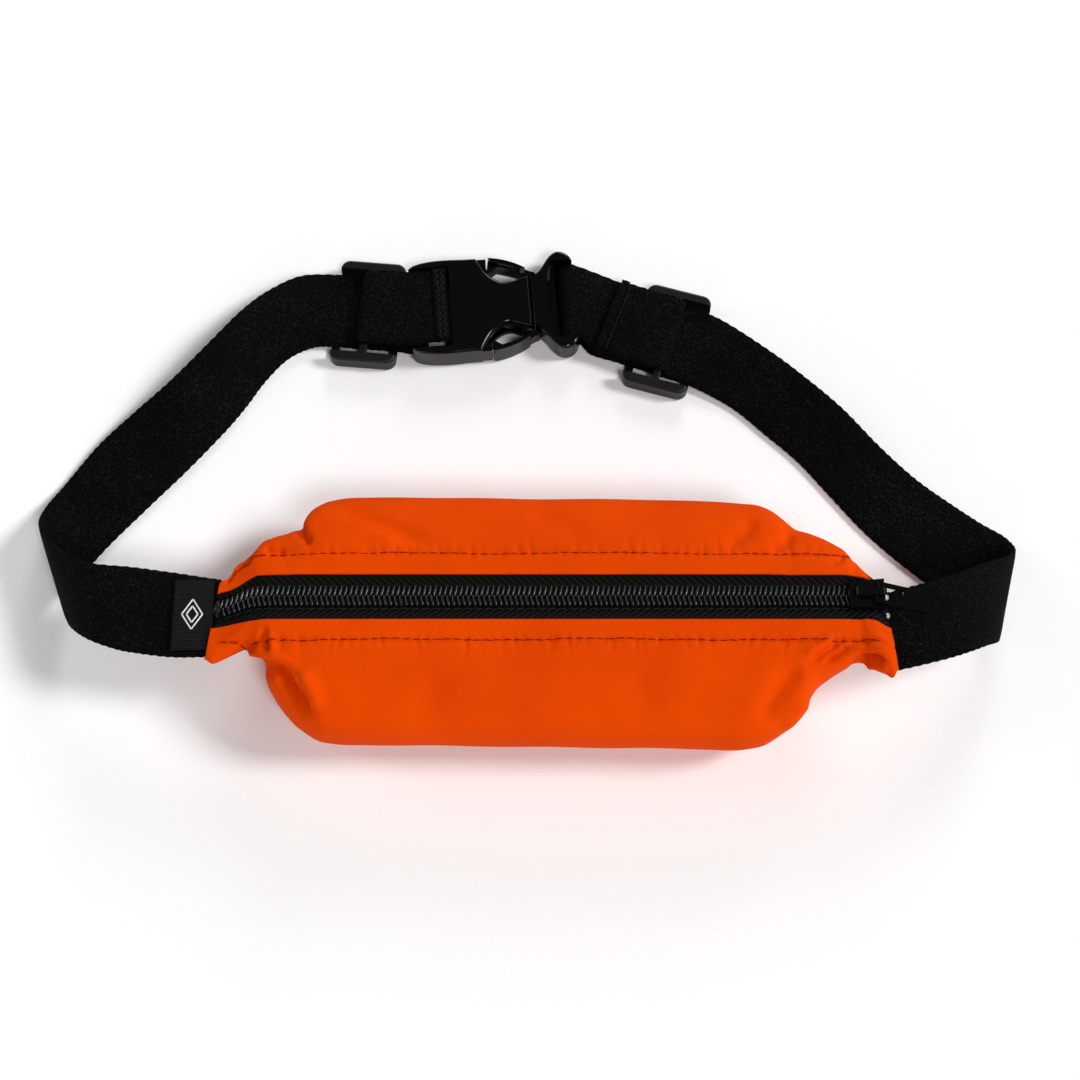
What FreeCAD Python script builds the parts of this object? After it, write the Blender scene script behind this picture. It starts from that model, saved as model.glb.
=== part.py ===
import FreeCAD, Part
import math
import os

# Waist pack on an elastic belt, laid flat on a table, zipper up.
# Millimetres. +X runs along the zipper towards the slider, +Y from the pouch to the
# buckle, +Z up. The origin is the middle of the flat base of the pouch.

V = FreeCAD.Vector

# ---- driving dimensions -------------------------------------------------------------
WEB_WIDTH = 26.0            # elastic webbing
WEB_THICK = 1.2
WEB_HALF = WEB_WIDTH / 2

SEAM_X = 97.0               # end seams of the pouch, either side of the origin
WALL = 1.4                  # pouch fabric
ZIP_Y = 1.0                 # zipper centre line
SLOT_HALF = 6.2             # half of the opening that the zipper fills

TAPE_TOP = 33.9             # zipper tape, level along the pouch
TAPE_THICK = 0.6
TAPE_INNER = 1.3            # tape edge, from the zipper centre line
TAPE_OUTER = 9.4
COIL_HALF = 3.1             # outer edge of each coil, from the centre line
COIL_TOP = 35.7
COIL_GAP = 0.15

SLIDER_X = 90.5             # slider at rest, zipper closed
TAB_PIVOT = V(SLIDER_X + 2.6, ZIP_Y, 38.0)
TAB_YAW = -12.0             # the loose pull tab points a little towards the wearer
TAB_DROP = 5.0              # and hangs a little below level, clear of the chain

BUCKLE_AT = V(-45.0, 109.2, 0.0)    # webbing end of the female half
BUCKLE_TURN = 4.5
BUCKLE_HIGH = 9.2
PLATE = 2.2                 # top and bottom walls of the female half
SOCKET_HALF = 13.8
MOUTH_U = 39.0              # mouth of the female half, along the buckle
BAR_LOW = 2.0               # webbing bars of both halves
BAR_HIGH = 5.2
FEMALE_BAR_U = (0.6, 4.4)
MALE_BAR_U = (49.4, 53.4)
SLOT_U = 13.8               # end of the female half's webbing slot
SLOT_V = 14.3
LEDGE = 2.4                 # both slots have a low ledge on their inner side
WEB_V = 0.8                 # the webbing sits a little off the middle of the female bar
PRONG_PIVOT = V(40.2, 10.2, 0.0)

LEFT_ADJ_AT = V(-57.8, 110.2, 0.0)
LEFT_ADJ_TURN = -5.0
RIGHT_ADJ_AT = V(37.3, 100.5, 0.0)
RIGHT_ADJ_TURN = -16.0      # the right adjuster sits a little askew on its webbing
RIGHT_WEB_TURN = -20.5
ADJ_LONG = 21.0
ADJ_WIDE = 36.0
ADJ_RAIL = 3.0
ADJ_BAR = 2.6               # side bars
ADJ_LEDGE = 2.2             # low ledge inside each rail
ADJ_WEB_V = 1.0             # the webbing lies nearer to the far rail

# Heights of the webbing's middle plane where layers stack up
Z_MAIN = 2.2                # over the side bars of an adjuster
Z_LOOP = 3.6                # under its centre bar
Z_FLAP = 6.6                # over its centre bar
Z_BAR = 3.65                # middle of a buckle's webbing bar
BUCKLE_WRAP = (2.85, 2.75)  # reach and rise of the webbing around a buckle bar
Z_CENTRE = 5.1              # middle of an adjuster's centre bar
ADJ_WRAP = (2.4, 1.5)       # reach and rise of the webbing around it


# ---- helpers ------------------------------------------------------------------------
def save(name, shape):
    shape.exportStep("parts/" + name + ".step")


def box(x0, x1, y0, y1, z0, z1):
    return Part.makeBox(x1 - x0, y1 - y0, z1 - z0, V(x0, y0, z0))


def prism(edges, z0, z1):
    face = Part.Face(Part.Wire(Part.__sortEdges__(edges)))
    face.translate(V(0, 0, z0 - face.BoundBox.ZMin))
    return face.extrude(V(0, 0, z1 - z0))


def line(a, b):
    return Part.makeLine(V(a[0], a[1], 0), V(b[0], b[1], 0))


def arc(a, b, c):
    return Part.Arc(V(a[0], a[1], 0), V(b[0], b[1], 0), V(c[0], c[1], 0)).toShape()


def spline(*points):
    curve = Part.BSplineCurve()
    curve.interpolate([V(a, b, 0) for a, b in points])
    return curve.toShape()


def mirrored(shape):
    return shape.mirror(V(0, 0, 0), V(0, 1, 0))


def rim_fillet(solid, radius, low, high):
    """Round the outline edges that lie wholly at the bottom or at the top."""
    rim = [e for e in solid.Edges
           if e.BoundBox.ZLength < 0.01 and min(abs(e.BoundBox.ZMin - low), abs(e.BoundBox.ZMin - high)) < 0.01]
    return solid.makeFillet(radius, rim)


def placed(shape, at, turn):
    shape = shape.copy()
    shape.rotate(V(0, 0, 0), V(0, 0, 1), turn)
    shape.translate(at)
    return shape


def at_frame(at, turn, along, across, z):
    """A point given along and across a part that lies turned on the table."""
    a = math.radians(turn)
    return V(at.x + along * math.cos(a) - across * math.sin(a),
             at.y + along * math.sin(a) + across * math.cos(a), z)


def pair(at, turn, along, z, middle=0.0):
    """Both edges of the webbing where it crosses a buckle or an adjuster."""
    return (at_frame(at, turn, along, middle + WEB_HALF, z), at_frame(at, turn, along, middle - WEB_HALF, z))


def turn_around(along, z, wrap, start, end, steps):
    """Stations of a half turn around a bar, as (along, z)."""
    reach, rise = wrap
    stations = []
    for i in range(steps + 1):
        a = math.radians(start + (end - start) * i / steps)
        stations.append((along + reach * math.cos(a), z + rise * math.sin(a)))
    return stations


def smooth(pairs, parts=3):
    """Catmull-Rom stations between hand-chosen pairs of edge points."""
    out = []
    for i in range(len(pairs) - 1):
        quad = [pairs[max(i - 1, 0)], pairs[i], pairs[i + 1], pairs[min(i + 2, len(pairs) - 1)]]
        for k in range(parts):
            t = k / parts
            station = []
            for edge in (0, 1):
                p0, p1, p2, p3 = [q[edge] for q in quad]
                station.append(p1 * 1.0 + (p2 - p0) * (0.5 * t)
                               + (p0 * 2 - p1 * 5 + p2 * 4 - p3) * (0.5 * t * t)
                               + (p1 * 3 - p0 - p2 * 3 + p3) * (0.5 * t ** 3))
            out.append(tuple(station))
    out.append(pairs[-1])
    return out


def webbing(pairs, thick=WEB_THICK):
    """A strip through pairs of far and near edge points."""
    middles = [(far + near) * 0.5 for far, near in pairs]
    wires = []
    for i, (far, near) in enumerate(pairs):
        run = middles[min(i + 1, len(pairs) - 1)] - middles[max(i - 1, 0)]
        up = run.cross(far - near)
        up.normalize()
        up = up * (thick / 2)
        wires.append(Part.makePolygon([far + up, near + up, near - up, far - up, far + up]))
    return Part.makeLoft(wires, True, True)


# ---- pouch --------------------------------------------------------------------------
# x, middle y, half width, lowest z, highest z
POUCH_SECTIONS = [
    (-97.0, -4.3, 13.2, 26.2, 30.4),
    (-89.0, -2.6, 17.0, 20.0, 32.8),
    (-79.0, 0.4, 25.5, 8.5, 34.8),
    (-69.0, 1.4, 33.5, 1.4, 35.8),
    (-56.0, 1.0, 36.6, -0.4, 36.0),
    (-40.0, 0.8, 37.2, -0.4, 36.2),
    (-20.0, 0.5, 37.4, -0.4, 36.3),
    (0.0, 0.3, 37.4, -0.4, 36.3),
    (20.0, 0.2, 37.4, -0.4, 36.3),
    (36.0, 0.2, 37.3, -0.4, 36.2),
    (49.0, 0.2, 37.0, -0.4, 36.0),
    (62.0, -0.3, 34.0, 1.2, 35.8),
    (72.0, -1.8, 27.5, 7.0, 35.3),
    (82.0, -4.2, 21.0, 15.5, 34.0),
    (90.0, -6.2, 17.0, 21.5, 32.4),
    (97.0, -7.4, 14.4, 26.2, 30.4),
]
SECTION_POINTS = 20
SECTION_POWER = 2.7


def pouch_section(x, middle, half, low, high):
    points = []
    for i in range(SECTION_POINTS):
        a = 2 * math.pi * i / SECTION_POINTS
        c, s = math.cos(a), math.sin(a)
        y = middle + half * math.copysign(abs(c) ** (2 / SECTION_POWER), c)
        z = (low + high) / 2 + (high - low) / 2 * math.copysign(abs(s) ** (2 / SECTION_POWER), s)
        points.append(V(x, y, z))
    curve = Part.BSplineCurve()
    curve.interpolate(Points=points, PeriodicFlag=True)
    return Part.Wire(curve.toShape())


def pouch_skin():
    outer = Part.makeLoft([pouch_section(*s) for s in POUCH_SECTIONS], True, False)
    inside = [(x, m, h - WALL, lo + WALL, hi - WALL) for x, m, h, lo, hi in POUCH_SECTIONS[1:-1]]
    cavity = Part.makeLoft([pouch_section(*s) for s in inside], True, False)
    cavity = cavity.cut(box(-100, 100, -60, 60, -20, WALL))
    return outer.cut(box(-100, 100, -60, 60, -20, 0)).cut(cavity)


def pouch_shell(straps):
    """Fabric tube with its end seams closed and the zipper opening cut in the top."""
    skin = pouch_skin()
    slot = box(-84, 84, ZIP_Y - SLOT_HALF, ZIP_Y + SLOT_HALF, 25, 40)
    ends = box(-94, 95.8, ZIP_Y - SLOT_HALF, ZIP_Y + SLOT_HALF, 30.6, 40)
    reach = TAPE_OUTER + 0.3
    tape_room = box(-85, 82, ZIP_Y - reach, ZIP_Y + reach, TAPE_TOP - TAPE_THICK - 0.3, TAPE_TOP + 0.25)
    skin = skin.cut(slot).cut(ends).cut(tape_room)
    for strap in straps:
        skin = skin.cut(strap)
    return skin


# ---- zipper -------------------------------------------------------------------------
def zipper_tape():
    """Upper half of the tape, on the +Y side: full width under the fabric, narrow at the ends."""
    inner, outer, narrow = TAPE_INNER, TAPE_OUTER, SLOT_HALF - 0.2
    corners = [(-95, inner), (95.4, inner), (95.4, narrow), (78, narrow), (72, outer), (-74, outer),
               (-80, narrow), (-95, narrow), (-95, inner)]
    edges = [line(a, b) for a, b in zip(corners, corners[1:])]
    return prism(edges, TAPE_TOP - TAPE_THICK, TAPE_TOP)


def zipper_coil():
    """Upper coil as the envelope of its teeth."""
    strip = box(-93, SLIDER_X + 0.8, COIL_GAP, COIL_HALF, TAPE_TOP + 0.05, COIL_TOP)
    top = [e for e in strip.Edges if e.BoundBox.ZMin > COIL_TOP - 0.01 and e.BoundBox.XLength > 100]
    return strip.makeFillet(0.7, top)


def bottom_stop():
    """Clamp across both coils at the closed end of the chain."""
    return box(-94.8, -93.1, ZIP_Y - 3.2, ZIP_Y + 3.2, TAPE_TOP + 0.05, COIL_TOP + 0.2)


def top_stops():
    """Two small metal clamps that stop the slider."""
    one = box(95.45, 96.9, 1.6, 3.4, TAPE_TOP - TAPE_THICK, TAPE_TOP + 1.6)
    pair_of_stops = Part.makeCompound([one, mirrored(one)])
    pair_of_stops.translate(V(0, ZIP_Y, 0))
    return pair_of_stops


def slider_body():
    """Two plates joined by the wedge between the coils, with side flanges on the top plate."""
    wide = [line((-5.2, 3.7), (4.8, 4.6)), line((4.8, 4.6), (4.8, -4.6)),
            line((4.8, -4.6), (-5.2, -3.7)), line((-5.2, -3.7), (-5.2, 3.7))]
    top = prism(wide, COIL_TOP + 0.2, COIL_TOP + 1.3)
    flange = box(-5.2, 4.8, 3.3, 4.0, TAPE_TOP + 0.2, COIL_TOP + 0.6)
    bottom = box(-5.0, 4.6, -3.6, 3.6, TAPE_TOP - TAPE_THICK - 1.2, TAPE_TOP - TAPE_THICK - 0.2)
    wedge = prism([line((1.6, 0), (3.6, 0.95)), line((3.6, 0.95), (4.6, 0.95)), line((4.6, 0.95), (4.6, -0.95)),
                   line((4.6, -0.95), (3.6, -0.95)), line((3.6, -0.95), (1.6, 0))],
                  TAPE_TOP - TAPE_THICK - 0.4, COIL_TOP + 0.4)
    body = top.fuse([flange, mirrored(flange), bottom, wedge]).removeSplitter()
    body.translate(V(SLIDER_X, ZIP_Y, 0))
    return body


def slider_bail():
    """Arch on the slider that holds the pull tab."""
    foot = COIL_TOP + 1.3
    arch = box(-3.8, 4.7, -1.2, 1.2, foot, foot + 2.7)
    arch = arch.makeFillet(1.1, [e for e in arch.Edges if e.BoundBox.ZMin > foot + 2.6 and e.BoundBox.YLength > 2])
    arch = arch.cut(box(-3.0, 3.9, -2, 2, foot - 1, foot + 1.8))
    arch.translate(V(SLIDER_X, ZIP_Y, 0))
    return arch


def pull_tab():
    """Forked tab: a pin under the bail, two arms and a grip plate."""
    pin = Part.makeCylinder(0.5, 6.4, V(0, -3.2, 0), V(0, 1, 0))
    arm = box(0, 7.4, 2.0, 3.2, -0.5, 0.5)
    plate = box(7.2, 15.4, -3.2, 3.2, -0.6, 0.6)
    plate = plate.makeFillet(1.8, [e for e in plate.Edges if e.BoundBox.ZLength > 1 and e.BoundBox.XMin > 15])
    tab = pin.fuse([arm, mirrored(arm), plate]).removeSplitter()
    tab.rotate(V(0, 0, 0), V(0, 1, 0), TAB_DROP)
    tab.rotate(V(0, 0, 0), V(0, 0, 1), TAB_YAW)
    tab.translate(TAB_PIVOT)
    return tab


# ---- buckle -------------------------------------------------------------------------
def female_outline():
    half = [spline((0, 12.4), (1.6, 15.0), (5.5, 16.4), (14, 16.9), (22.6, 16.7)),
            spline((22.6, 16.7), (24.9, 12.4), (28.2, 8.7), (32.0, 7.2), (35.6, 8.2), (MOUTH_U, 9.2))]
    return half + [mirrored(e) for e in half] + [line((0, 12.4), (0, -12.4)), line((MOUTH_U, 9.2), (MOUTH_U, -9.2))]


def rounded_bar(u0, u1):
    """Webbing bar with rounded long edges."""
    bar = box(u0, u1, -14.6, 14.6, BAR_LOW, BAR_HIGH)
    return bar.makeFillet(1.2, [e for e in bar.Edges if e.BoundBox.YLength > 20])


def buckle_female():
    """Socket between two scooped plates, hook recesses in its side walls, slot and bar for the webbing."""
    body = rim_fillet(prism(female_outline(), 0, BUCKLE_HIGH), 1.0, 0, BUCKLE_HIGH)
    wall = box(20, 25.8, SOCKET_HALF, 16.6, 1.4, BUCKLE_HIGH - 1.4)
    body = body.fuse([wall, mirrored(wall)])
    socket = box(15.5, 45, -SOCKET_HALF, SOCKET_HALF, PLATE, BUCKLE_HIGH - PLATE)
    recess = box(17, 22, -15.2, 15.2, PLATE, BUCKLE_HIGH - PLATE)
    slot = box(-1, SLOT_U, -SLOT_V, SLOT_V, LEDGE, BUCKLE_HIGH + 1)
    slot = slot.fuse(box(-1, SLOT_U - 2.4, -SLOT_V, SLOT_V, -1, LEDGE + 1))
    body = body.cut(socket.fuse([recess, slot]))
    body = body.fuse(rounded_bar(*FEMALE_BAR_U))
    return placed(body.removeSplitter(), BUCKLE_AT, BUCKLE_TURN)


def male_outline():
    half = [spline((39.3, 9.4), (42.6, 11.2), (45.2, 14.9), (49.0, 17.6), (52.4, 16.0), (53.4, 13.0))]
    return half + [mirrored(e) for e in half] + [line((39.3, 9.4), (39.3, -9.4)), line((53.4, 13.0), (53.4, -13.0))]


def buckle_male():
    """Flared neck with the webbing slot, and the guide tongue that enters the socket."""
    neck = rim_fillet(prism(male_outline(), 0.4, BUCKLE_HIGH - 0.4), 1.2, 0.4, BUCKLE_HIGH - 0.4)
    slot = prism([arc((46.4, 13.9), (44.3, 0), (46.4, -13.9)), line((46.4, -13.9), (55, -13.9)),
                  line((55, -13.9), (55, 13.9)), line((55, 13.9), (46.4, 13.9))], LEDGE, BUCKLE_HIGH + 1)
    slot = slot.fuse([box(47.3, 55, -13.9, 13.9, 1.2, LEDGE + 1), box(48.5, 55, -13.9, 13.9, -1, 2)])
    neck = neck.cut(slot).fuse(rounded_bar(*MALE_BAR_U))
    root = box(35.5, 40.5, -8.2, 8.2, PLATE + 0.3, BUCKLE_HIGH - PLATE - 0.3)
    tongue = prism([line((18, 5.4), (36, 7.0)), line((36, 7.0), (36, -7.0)),
                    line((36, -7.0), (18, -5.4)), arc((18, -5.4), (16.6, 0), (18, 5.4))], 3.0, 6.2)
    male = neck.fuse([root, tongue])
    for side in (1, -1):
        male = male.cut(Part.makeCylinder(1.46, 20, V(PRONG_PIVOT.x, side * PRONG_PIVOT.y, -5)))
    return placed(male.removeSplitter(), BUCKLE_AT, BUCKLE_TURN)


def upper_prong():
    """Sprung arm: round root, full-height thumb button, and a hook inside the socket."""
    outline = [(40.2, 11.6), (36, 13.7), (30.5, 16.0), (26.6, 16.8), (26.0, 13.5), (21.9, 13.5), (21.9, 15.0),
               (19.6, 14.7), (17.2, 12.7), (17.5, 10.9), (25.5, 11.4), (29.5, 14.2), (34.5, 13.0), (39.4, 9.6)]
    corners = outline + outline[:1]
    arm = prism([line(a, b) for a, b in zip(corners, corners[1:])], PLATE + 0.3, BUCKLE_HIGH - PLATE - 0.3)
    button = prism([arc((26.6, 16.8), (31.6, 15.7), (38.2, 12.4)), line((38.2, 12.4), (36.6, 12.1)),
                    arc((36.6, 12.1), (31.6, 14.1), (27.4, 15.2)), line((27.4, 15.2), (26.6, 16.8))],
                   0.9, BUCKLE_HIGH - 0.9)
    root = Part.makeCylinder(1.4, BUCKLE_HIGH - 2 * PLATE - 0.6, V(PRONG_PIVOT.x, PRONG_PIVOT.y, PLATE + 0.3))
    return arm.fuse([button, root]).removeSplitter()


# ---- adjusters ----------------------------------------------------------------------
def adjuster():
    """Two side bars under the webbing and a raised centre bar, joined by outer rails."""
    half_long, half_wide, inner = ADJ_LONG / 2, ADJ_WIDE / 2, ADJ_WIDE / 2 - ADJ_RAIL
    block = box(-half_long, half_long, -half_wide, half_wide, 0, Z_FLAP - 0.8)
    block = block.makeFillet(3.0, [e for e in block.Edges if e.BoundBox.ZLength > 3])
    block = rim_fillet(block, 0.9, 0, Z_FLAP - 0.8)
    window = inner - ADJ_LEDGE
    block = block.cut(box(-half_long + ADJ_BAR, half_long - ADJ_BAR, -window, window, -1, 9))
    block = block.cut(box(-half_long - 1, half_long + 1, -inner, inner, Z_MAIN - 0.8, 9))
    centre = box(-1.3, 1.3, -inner - 0.4, inner + 0.4, Z_LOOP + 0.8, Z_FLAP - 0.8)
    centre = centre.makeFillet(0.6, [e for e in centre.Edges if e.BoundBox.YLength > 20])
    return block.fuse(centre).removeSplitter()


# ---- webbing routes: pairs of far and near edge points, in order from the pouch --------
LEFT_RUN = [
    (V(-92.5, 9.0, 28.3), V(-92.5, -15.0, 28.3)),
    (V(-98.0, 9.0, 28.3), V(-98.0, -15.0, 28.3)),
    (V(-110.0, 11.0, 28.0), V(-108.0, -15.0, 28.0)),
    (V(-122.0, 13.0, 27.3), V(-118.0, -13.6, 27.3)),
    (V(-135.0, 15.0, 26.0), V(-126.0, -11.6, 26.0)),
    (V(-145.0, 21.0, 22.0), V(-135.5, -6.5, 22.0)),
    (V(-153.0, 31.0, 15.0), V(-142.8, 2.5, 13.0)),
    (V(-154.2, 41.0, 6.5), V(-144.0, 15.0, 4.6)),
    (V(-149.5, 51.0, 2.4), V(-136.5, 29.0, 1.0)),
    (V(-140.0, 64.0, 3.4), V(-124.0, 43.5, 1.0)),
    (V(-129.0, 74.0, 6.5), V(-113.0, 55.8, 1.0)),
    (V(-117.6, 82.3, 12.0), V(-102.6, 68.3, 1.0)),
    (V(-106.6, 93.2, 15.0), V(-95.8, 77.8, 1.0)),
    (V(-96.2, 104.8, 16.0), V(-90.0, 87.2, 1.0)),
    (V(-88.4, 114.4, 12.0), V(-83.4, 94.8, 1.2)),
    (V(-79.4, 122.4, 6.5), V(-76.0, 98.8, 1.6)),
]

RIGHT_RUN = [
    (V(92.5, 4.8, 28.3), V(92.5, -19.2, 28.3)),
    (V(98.0, 4.8, 28.3), V(98.0, -19.2, 28.3)),
    (V(113.5, 9.5, 27.4), V(114.5, -15.0, 27.4)),
    (V(128.0, 16.4, 22.5), V(126.0, -9.6, 22.5)),
    (V(138.6, 23.0, 14.0), V(132.0, -4.0, 13.0)),
    (V(139.0, 31.0, 6.0), V(130.0, 4.5, 4.6)),
    (V(132.0, 37.5, 2.8), V(122.0, 12.0, 1.4)),
    (V(123.0, 44.4, 2.6), V(109.5, 22.6, 1.0)),
    (V(113.0, 52.3, 3.2), V(97.4, 34.3, 1.0)),
    (V(102.4, 62.5, 5.0), V(87.3, 46.6, 1.0)),
    (V(91.6, 74.4, 7.0), V(77.7, 58.6, 1.0)),
    (V(81.4, 84.2, 7.6), V(67.6, 68.4, 1.0)),
    (V(70.0, 95.0, 6.4), V(57.6, 77.6, 1.2)),
]
RIGHT_SPLIT = 13.0          # past the right adjuster, where the moving webbing starts
SPLIT_GAP = 0.6


def left_adj(along, z):
    return pair(LEFT_ADJ_AT, LEFT_ADJ_TURN, along, z, ADJ_WEB_V)


def right_web(along, z):
    return pair(RIGHT_ADJ_AT, RIGHT_WEB_TURN, along, z, ADJ_WEB_V)


def at_right_bar(along, z):
    return pair(RIGHT_ADJ_AT, RIGHT_ADJ_TURN, along, z, ADJ_WEB_V)


def on_female(along, z):
    return pair(BUCKLE_AT, BUCKLE_TURN, along, z, WEB_V)


def on_male(along, z):
    return pair(BUCKLE_AT, BUCKLE_TURN, along, z)


def left_strap():
    """From the left seam, folded under, back through the adjuster, around the female bar to the adjuster."""
    run = smooth(LEFT_RUN + [left_adj(-11, Z_MAIN)])
    run += [left_adj(10.8, Z_MAIN), on_female(0.9, 1.0)]
    middle = sum(FEMALE_BAR_U) / 2
    run += [on_female(u, z) for u, z in turn_around(middle, Z_BAR, BUCKLE_WRAP, -90, 90, 12)]
    run += [left_adj(9.5, 5.2), left_adj(5.5, Z_LOOP), left_adj(2.6, Z_LOOP)]
    return webbing(run)


def left_strap_flap():
    """End of the webbing: around the centre bar and back on top, to the hem."""
    run = [left_adj(2.3, Z_LOOP), left_adj(0.6, Z_LOOP)]
    run += [left_adj(s, z) for s, z in turn_around(-0.1, Z_CENTRE, ADJ_WRAP, 270, 90, 8)]
    run += [left_adj(5.0, Z_FLAP), left_adj(10.5, 7.3), on_female(2.5, 8.0), on_female(12.8, 7.9)]
    return webbing(run)


def right_strap_run():
    """From the right seam, folded under, back to the webbing that moves with the male half."""
    return webbing(smooth(RIGHT_RUN + [right_web(RIGHT_SPLIT + SPLIT_GAP, Z_MAIN)]))


def right_strap_loop():
    """Through the right adjuster, under the male bar, around it and back to the adjuster."""
    middle = sum(MALE_BAR_U) / 2
    run = [right_web(RIGHT_SPLIT, Z_MAIN), right_web(-11.5, Z_MAIN), right_web(-21, 1.6), on_male(54.2, 1.0)]
    run += [on_male(u, z) for u, z in turn_around(middle, Z_BAR, BUCKLE_WRAP, 270, 90, 12)]
    run += [on_male(54.2, 6.2), right_web(-21, 4.7), right_web(-11, Z_LOOP), at_right_bar(-2.6, Z_LOOP)]
    return webbing(run)


def right_strap_flap():
    """End of the webbing: around the centre bar and back on top, to the hem."""
    run = [at_right_bar(-2.3, Z_LOOP), at_right_bar(-0.6, Z_LOOP)]
    run += [at_right_bar(s, z) for s, z in turn_around(0.1, Z_CENTRE, ADJ_WRAP, -90, 90, 8)]
    run += [at_right_bar(-5, Z_FLAP), right_web(-11, 6.2), right_web(-20, 6.2)]
    return webbing(run)


def side_label():
    """Folded woven label that lies on the left strap beside the seam."""
    return box(-108.5, -97.4, -13.5, 8.0, 29.3, 30.1)


# ---- build --------------------------------------------------------------------------
os.makedirs("parts", exist_ok=True)

left_run = left_strap()
right_run = right_strap_run()
save("left_strap", left_run)
save("right_strap_run", right_run)
save("right_strap_loop", right_strap_loop())
save("left_strap_flap", left_strap_flap())
save("right_strap_flap", right_strap_flap())
save("pouch_shell", pouch_shell([left_run, right_run]))
save("side_label", side_label())

for name, build in (("zipper_tape", zipper_tape), ("zipper_coil", zipper_coil)):
    upper = build()
    lower = mirrored(upper)
    for side, half in (("upper_", upper), ("lower_", lower)):
        half.translate(V(0, ZIP_Y, 0))
        save(side + name, half)
save("zipper_bottom_stop", bottom_stop())
save("zipper_top_stops", top_stops())
save("slider_body", slider_body())
save("slider_bail", slider_bail())
save("pull_tab", pull_tab())

save("buckle_female", buckle_female())
save("buckle_male", buckle_male())
prong = upper_prong()
save("upper_prong", placed(prong, BUCKLE_AT, BUCKLE_TURN))
save("lower_prong", placed(mirrored(prong), BUCKLE_AT, BUCKLE_TURN))

save("left_adjuster", placed(adjuster(), LEFT_ADJ_AT, LEFT_ADJ_TURN))
save("right_adjuster", placed(adjuster(), RIGHT_ADJ_AT, RIGHT_ADJ_TURN))
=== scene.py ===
import math

import bmesh
import bpy
import numpy as np
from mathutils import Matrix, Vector


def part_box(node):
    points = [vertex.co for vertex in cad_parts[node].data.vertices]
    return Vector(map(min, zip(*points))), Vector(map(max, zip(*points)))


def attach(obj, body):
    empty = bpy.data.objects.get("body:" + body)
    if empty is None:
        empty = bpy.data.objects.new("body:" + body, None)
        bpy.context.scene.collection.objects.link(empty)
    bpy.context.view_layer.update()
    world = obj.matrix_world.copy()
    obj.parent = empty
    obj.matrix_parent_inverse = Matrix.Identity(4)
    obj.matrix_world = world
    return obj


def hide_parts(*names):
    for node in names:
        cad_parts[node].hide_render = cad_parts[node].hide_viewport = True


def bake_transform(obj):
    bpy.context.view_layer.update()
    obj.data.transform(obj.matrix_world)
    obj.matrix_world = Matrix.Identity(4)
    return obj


# A slim waist pack laid flat, zipper up: stuffed stretch pouch, elastic webbing, adjusters and buckle.
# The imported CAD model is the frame. Lengths below are written in millimetres and scaled by MM.

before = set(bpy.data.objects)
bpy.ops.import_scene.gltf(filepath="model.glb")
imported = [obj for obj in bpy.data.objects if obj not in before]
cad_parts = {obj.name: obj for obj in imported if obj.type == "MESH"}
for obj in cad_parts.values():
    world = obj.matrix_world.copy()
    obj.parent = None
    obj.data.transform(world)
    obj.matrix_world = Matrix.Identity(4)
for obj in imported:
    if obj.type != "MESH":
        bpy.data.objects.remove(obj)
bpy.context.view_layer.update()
MM = 0.001

# ---- layout, from the frame and from the standard parts ---------------------------------
SEAM_X = 97.0                       # the pouch's end seams
ZIP_Y = sum(v.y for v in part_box("slider_bail")) / 2 / MM
TAPE_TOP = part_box("upper_zipper_tape")[1].z / MM

WEB_HALF = 13.0                     # half the webbing's width
WEB_THICK = 1.2


def ease(t):
    """A smooth rise from 0 to 1 as t goes from 0 to 1."""
    t = np.clip(t, 0.0, 1.0)
    return t * t * (3 - 2 * t)


def curve_through(xs, ys, x):
    """Cubic values through stations, each with the slope of its neighbours."""
    xs, ys = np.asarray(xs, float), np.asarray(ys, float)
    slope = np.gradient(ys, xs)
    i = np.clip(np.searchsorted(xs, x, side="right") - 1, 0, len(xs) - 2)
    h = xs[i + 1] - xs[i]
    t = (x - xs[i]) / h
    return ((2 * t**3 - 3 * t**2 + 1) * ys[i] + (t**3 - 2 * t**2 + t) * h * slope[i]
            + (-2 * t**3 + 3 * t**2) * ys[i + 1] + (t**3 - t**2) * h * slope[i + 1])


# ---- mesh helpers -----------------------------------------------------------------------
def mesh_object(name, points, faces, smooth=True):
    mesh = bpy.data.meshes.new(name)
    mesh.from_pydata([tuple(p) for p in np.asarray(points) * MM], [], [tuple(f) for f in faces])
    mesh.validate()
    if smooth:
        mesh.polygons.foreach_set("use_smooth", [True] * len(mesh.polygons))
    mesh.update()
    obj = bpy.data.objects.new(name, mesh)
    bpy.context.scene.collection.objects.link(obj)
    return obj


def grid_faces(rows, columns, close_columns=False):
    """Quads between the rows of a grid of points."""
    faces = []
    last = columns if close_columns else columns - 1
    for r in range(rows - 1):
        for c in range(last):
            n = (c + 1) % columns
            faces.append((r * columns + c, r * columns + n, (r + 1) * columns + n, (r + 1) * columns + c))
    return faces


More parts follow.
